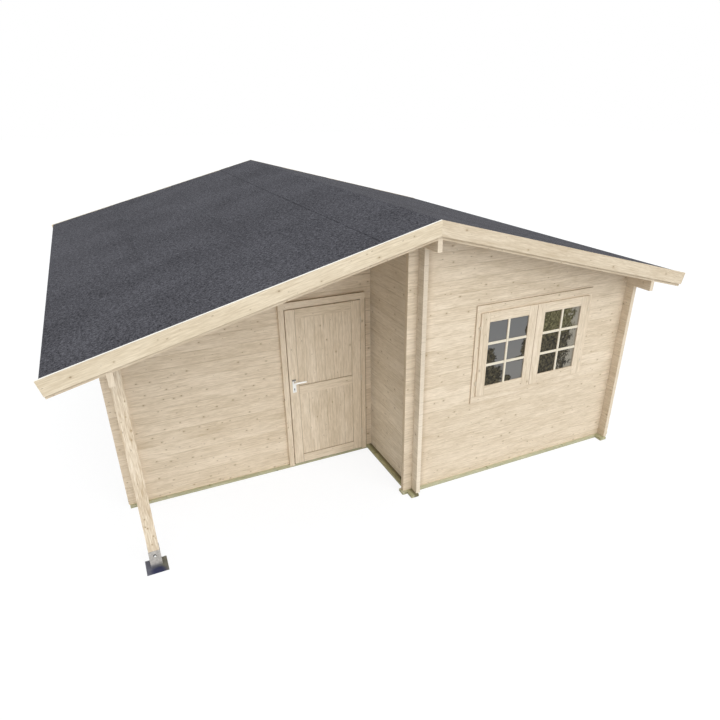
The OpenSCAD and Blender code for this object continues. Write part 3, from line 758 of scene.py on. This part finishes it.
def roof_boards(side):
    """Boards down one slope, with a V joint between them on the underside."""
    parts = []
    eaves_x, eaves_z = DECK_RUN * SLOPE_COS, APEX_Z - DECK_RUN * SLOPE_SIN
    for k in range(ROOF_BOARDS):
        y0 = -INNER_ROOF_Y + k * ROOF_BOARD_W
        y1 = y0 + ROOF_BOARD_W
        section = [
            (y0, JOINT), (y0 + JOINT, 0), (y1 - JOINT, 0), (y1, JOINT),
            (y1, DECK_T), (y0, DECK_T),
        ]
        ridge = [(0, y, APEX_Z + rise / SLOPE_COS) for y, rise in section]
        eaves = [
            (side * (eaves_x + rise * SLOPE_SIN), y, eaves_z + rise * SLOPE_COS)
            for y, rise in section
        ]
        parts.append((ridge, eaves))
    return parts


piece("roof_boards_left", roof_boards(-1), soffit_left, "house", "planed_wood", "roof_deck_left")
piece("roof_boards_right", roof_boards(1), soffit_right, "house", "planed_wood", "roof_deck_right")

# The floor stops short of the recessed wall, of its log ends and of the porch side wall
RECESS_FRONT, RECESS_BACK = -1.646, -1.590
SIDE_WALL_END = -1.490
SIDE_WALL_X = 0.028
LOG_END_X = 0.128


def floor_boards(y0, y1, ends):
    """Boards along X from y0 to y1. ends gives where a board from a to b starts and stops."""
    count = round((y1 - y0) / FLOOR_BOARD_W)
    width = (y1 - y0) / count
    top = FLOOR_Z + FLOOR_T
    ease = JOINT / 2
    parts = []
    for k in range(count):
        a = y0 + k * width
        b = a + width
        x0, x1 = ends(a, b)
        section = [
            (a, FLOOR_Z), (b, FLOOR_Z), (b, top - ease), (b - ease, top),
            (a + ease, top), (a, top - ease),
        ]
        parts.append(([(x0, y, z) for y, z in section], [(x1, y, z) for y, z in section]))
    return parts


def left_ends(a, b):
    return -FLOOR_X, (-SIDE_WALL_X if a < SIDE_WALL_END else 0.0)


def right_ends(a, b):
    if b > RECESS_FRONT and a < RECESS_BACK:
        return LOG_END_X, FLOOR_X
    return (SIDE_WALL_X if a < SIDE_WALL_END else 0.0), FLOOR_X


floor_left = floor_boards(RECESS_BACK, FLOOR_Y, left_ends)
floor_right = floor_boards(-FLOOR_Y, FLOOR_Y, right_ends)
piece("floor_boards_left", floor_left, floor_wood, "house", "planed_wood", "floor_left")
piece("floor_boards_right", floor_right, floor_wood, "house", "planed_wood", "floor_right")

# Glazing bars on both faces of the glass, bevelled towards their edge
GLASS_FRONT, GLASS_BACK = -2.656, -2.652
BAR_FRONT, BAR_BACK = -2.666, -2.646
BAR_W, BAR_TOP_W = 0.027, 0.019
BAR_SHOULDER = 0.55


def bar(low, high, middle, flat):
    """One bar on each face of the glass. flat turns the bar to lie along X."""
    parts = []
    for glass_y, edge_y in ((GLASS_FRONT, BAR_FRONT), (GLASS_BACK, BAR_BACK)):
        shoulder_y = glass_y + (edge_y - glass_y) * BAR_SHOULDER
        section = [
            (middle - BAR_W / 2, glass_y), (middle + BAR_W / 2, glass_y),
            (middle + BAR_W / 2, shoulder_y),
            (middle + BAR_TOP_W / 2, edge_y), (middle - BAR_TOP_W / 2, edge_y),
            (middle - BAR_W / 2, shoulder_y),
        ]
        if flat:
            parts.append(([(low, y, z) for z, y in section], [(high, y, z) for z, y in section]))
        else:
            parts.append(([(x, y, low) for x, y in section], [(x, y, high) for x, y in section]))
    return parts


for name, (x0, x1) in zip(("left_sash_bars", "right_sash_bars"), PANES):
    middle = (x0 + x1) / 2
    parts = bar(PANE_Z0, PANE_Z1, middle, False)
    for k in (1, 2):
        z = PANE_Z0 + (PANE_Z1 - PANE_Z0) * k / 3
        parts += bar(x0, middle - BAR_W / 2, z, True)
        parts += bar(middle + BAR_W / 2, x1, z, True)
    piece(name, parts, bar_wood, "house", "joinery")


def disc(x, y, z, radius, depth, count=20):
    """Round head that stands out of a face towards depth along Y."""
    turn = [2 * math.pi * k / count for k in range(count)]
    low = [(x + radius * math.cos(t), y, z + radius * math.sin(t)) for t in turn]
    high = [(x + radius * math.cos(t), y + depth, z + radius * math.sin(t)) for t in turn]
    return low, high


# Keyholes as dark discs of painted shade, and screws on the handle plates, one plate on each face
# of the door
PLATE_X = -0.929
PLATE_FACES = ((-1.688, -1), (-1.642, 1))
KEY_Z, KEY_R, KEY_T = 0.968, 0.0065, 0.0004
KEY_SLOT = ((-0.003, -0.022), (0.003, -0.022), (0.003, -0.005), (-0.003, -0.005))
SCREW_HEIGHTS = (0.936, 1.070)
SCREW_R, SCREW_T = 0.004, 0.0009
keyholes, screws = [], []
for face_y, way in PLATE_FACES:
    keyholes.append(disc(PLATE_X, face_y, KEY_Z, KEY_R, way * KEY_T))
    keyholes.append((
        [(PLATE_X + x, face_y, KEY_Z + z) for x, z in KEY_SLOT],
        [(PLATE_X + x, face_y + way * KEY_T, KEY_Z + z) for x, z in KEY_SLOT],
    ))
    for z in SCREW_HEIGHTS:
        screws.append(disc(PLATE_X, face_y, z, SCREW_R, way * SCREW_T))
piece("keyholes", keyholes, painted_hole_shade, "door", "handle_metal")
piece("plate_screws", screws, zinc, "door", "handle_metal")

# A dark disc over each hole of the post's foot as painted shade in the hole, with a bright bolt
# head low on it as painted light on the hole's lower side
FOOT_X = -2.584
FOOT_FACES = ((-2.646, -1), (-2.542, 1))
FOOT_HOLE_Z, FOOT_HOLE_R, FOOT_HOLE_T = 0.130, 0.0135, 0.0006
BOLT_R, BOLT_T = 0.0085, 0.0030
BOLT_X, BOLT_Z = FOOT_X + 0.001, FOOT_HOLE_Z - 0.0050
hole_shades, lit_bolts = [], []
for face_y, way in FOOT_FACES:
    hole_shades.append(disc(FOOT_X, face_y, FOOT_HOLE_Z, FOOT_HOLE_R, way * FOOT_HOLE_T))
    lit_bolts.append(disc(BOLT_X, face_y, BOLT_Z, BOLT_R, way * BOLT_T))
piece("hole_shade_discs", hole_shades, painted_hole_shade, "house", "galvanised_steel")
piece("lit_post_bolts", lit_bolts, handle_metal, "house", "galvanised_steel")


def seen_directly(tree):
    """1 for what the camera sees straight, in a reflection or through glass."""
    path = tree.nodes.new("ShaderNodeLightPath")
    seen = path.outputs["Is Camera Ray"]
    for ray in ("Is Glossy Ray", "Is Transmission Ray"):
        either = tree.nodes.new("ShaderNodeMath")
        either.operation = "MAXIMUM"
        tree.links.new(seen, either.inputs[0])
        tree.links.new(path.outputs[ray], either.inputs[1])
        seen = either.outputs[0]
    return seen


def show(tree, out, unseen, seen):
    """One shader for light that only bounces, and another for what is seen."""
    mixed = tree.nodes.new("ShaderNodeMixShader")
    tree.links.new(seen_directly(tree), mixed.inputs[0])
    tree.links.new(unseen.outputs[0], mixed.inputs[1])
    tree.links.new(seen.outputs[0], mixed.inputs[2])
    tree.links.new(mixed.outputs[0], out.inputs["Surface"])


# Plain pale floor that keeps the shadow and reads white where nothing shades it
REACH = 70.0
BOUNCE_COLOR = (0.64, 0.65, 0.66, 1)
SHADOW_COLOR = (0.16, 0.16, 0.16, 1)
GLOW = 0.86
ground = bpy.data.meshes.new("studio_floor")
ground.from_pydata(
    [(-REACH, -REACH, 0), (REACH, -REACH, 0), (REACH, REACH, 0), (-REACH, REACH, 0)],
    [], [(0, 1, 2, 3)],
)
floor = bpy.data.objects.new("studio_floor", ground)
scene.collection.objects.link(floor)
pale = bpy.data.materials.new("pale_floor")
pale.use_nodes = True
tree = pale.node_tree
tree.nodes.clear()
out = tree.nodes.new("ShaderNodeOutputMaterial")
bounce = tree.nodes.new("ShaderNodeBsdfDiffuse")
bounce.inputs["Color"].default_value = BOUNCE_COLOR
shadow = tree.nodes.new("ShaderNodeBsdfDiffuse")
shadow.inputs["Color"].default_value = SHADOW_COLOR
glow = tree.nodes.new("ShaderNodeEmission")
glow.inputs["Strength"].default_value = GLOW
both = tree.nodes.new("ShaderNodeAddShader")
tree.links.new(shadow.outputs[0], both.inputs[0])
tree.links.new(glow.outputs[0], both.inputs[1])
show(tree, out, bounce, both)
ground.materials.append(pale)

# White background, with soft light from the sky that is strongest overhead
SKY_COLOR = (0.94, 1.0, 1.07, 1)
SKY_LEVEL, SKY_RISE = 0.30, 0.95
world = bpy.data.worlds.new("studio")
scene.world = world
world.use_nodes = True
tree = world.node_tree
tree.nodes.clear()
out = tree.nodes.new("ShaderNodeOutputWorld")
way = tree.nodes.new("ShaderNodeTexCoord")
axes = tree.nodes.new("ShaderNodeSeparateXYZ")
level = tree.nodes.new("ShaderNodeMath")
level.operation = "MULTIPLY_ADD"
level.inputs[1].default_value = SKY_RISE
level.inputs[2].default_value = SKY_LEVEL
sky = tree.nodes.new("ShaderNodeBackground")
sky.inputs["Color"].default_value = SKY_COLOR
white = tree.nodes.new("ShaderNodeBackground")
white.inputs["Color"].default_value = (1, 1, 1, 1)
white.inputs["Strength"].default_value = 1.0
tree.links.new(way.outputs["Generated"], axes.inputs[0])
tree.links.new(axes.outputs[2], level.inputs[0])
tree.links.new(level.outputs[0], sky.inputs["Strength"])
show(tree, out, sky, white)

# Soft key light from the front
KEY_WAY = Vector((-0.15, 1.0, -0.60))
key = bpy.data.lights.new("key", "SUN")
key.energy = 1.65
key.angle = math.radians(70)
lamp = bpy.data.objects.new("key", key)
scene.collection.objects.link(lamp)
lamp.rotation_euler = KEY_WAY.to_track_quat("-Z", "Y").to_euler()

# Camera at the photograph's place, for a square image
LOOK_DOWN, LOOK_RIGHT = 0.46275, 0.45102
lens = bpy.data.cameras.new("camera")
lens.sensor_width = 36.0
lens.lens = 28.8631
lens.shift_x = -0.02465
lens.shift_y = 0.04113
lens.clip_end = 300.0
camera = bpy.data.objects.new("camera", lens)
scene.collection.objects.link(camera)
camera.location = (-2.51663, -6.97414, 3.68047)
camera.rotation_euler = (math.pi / 2 - LOOK_DOWN, 0.0, -LOOK_RIGHT)
scene.camera = camera
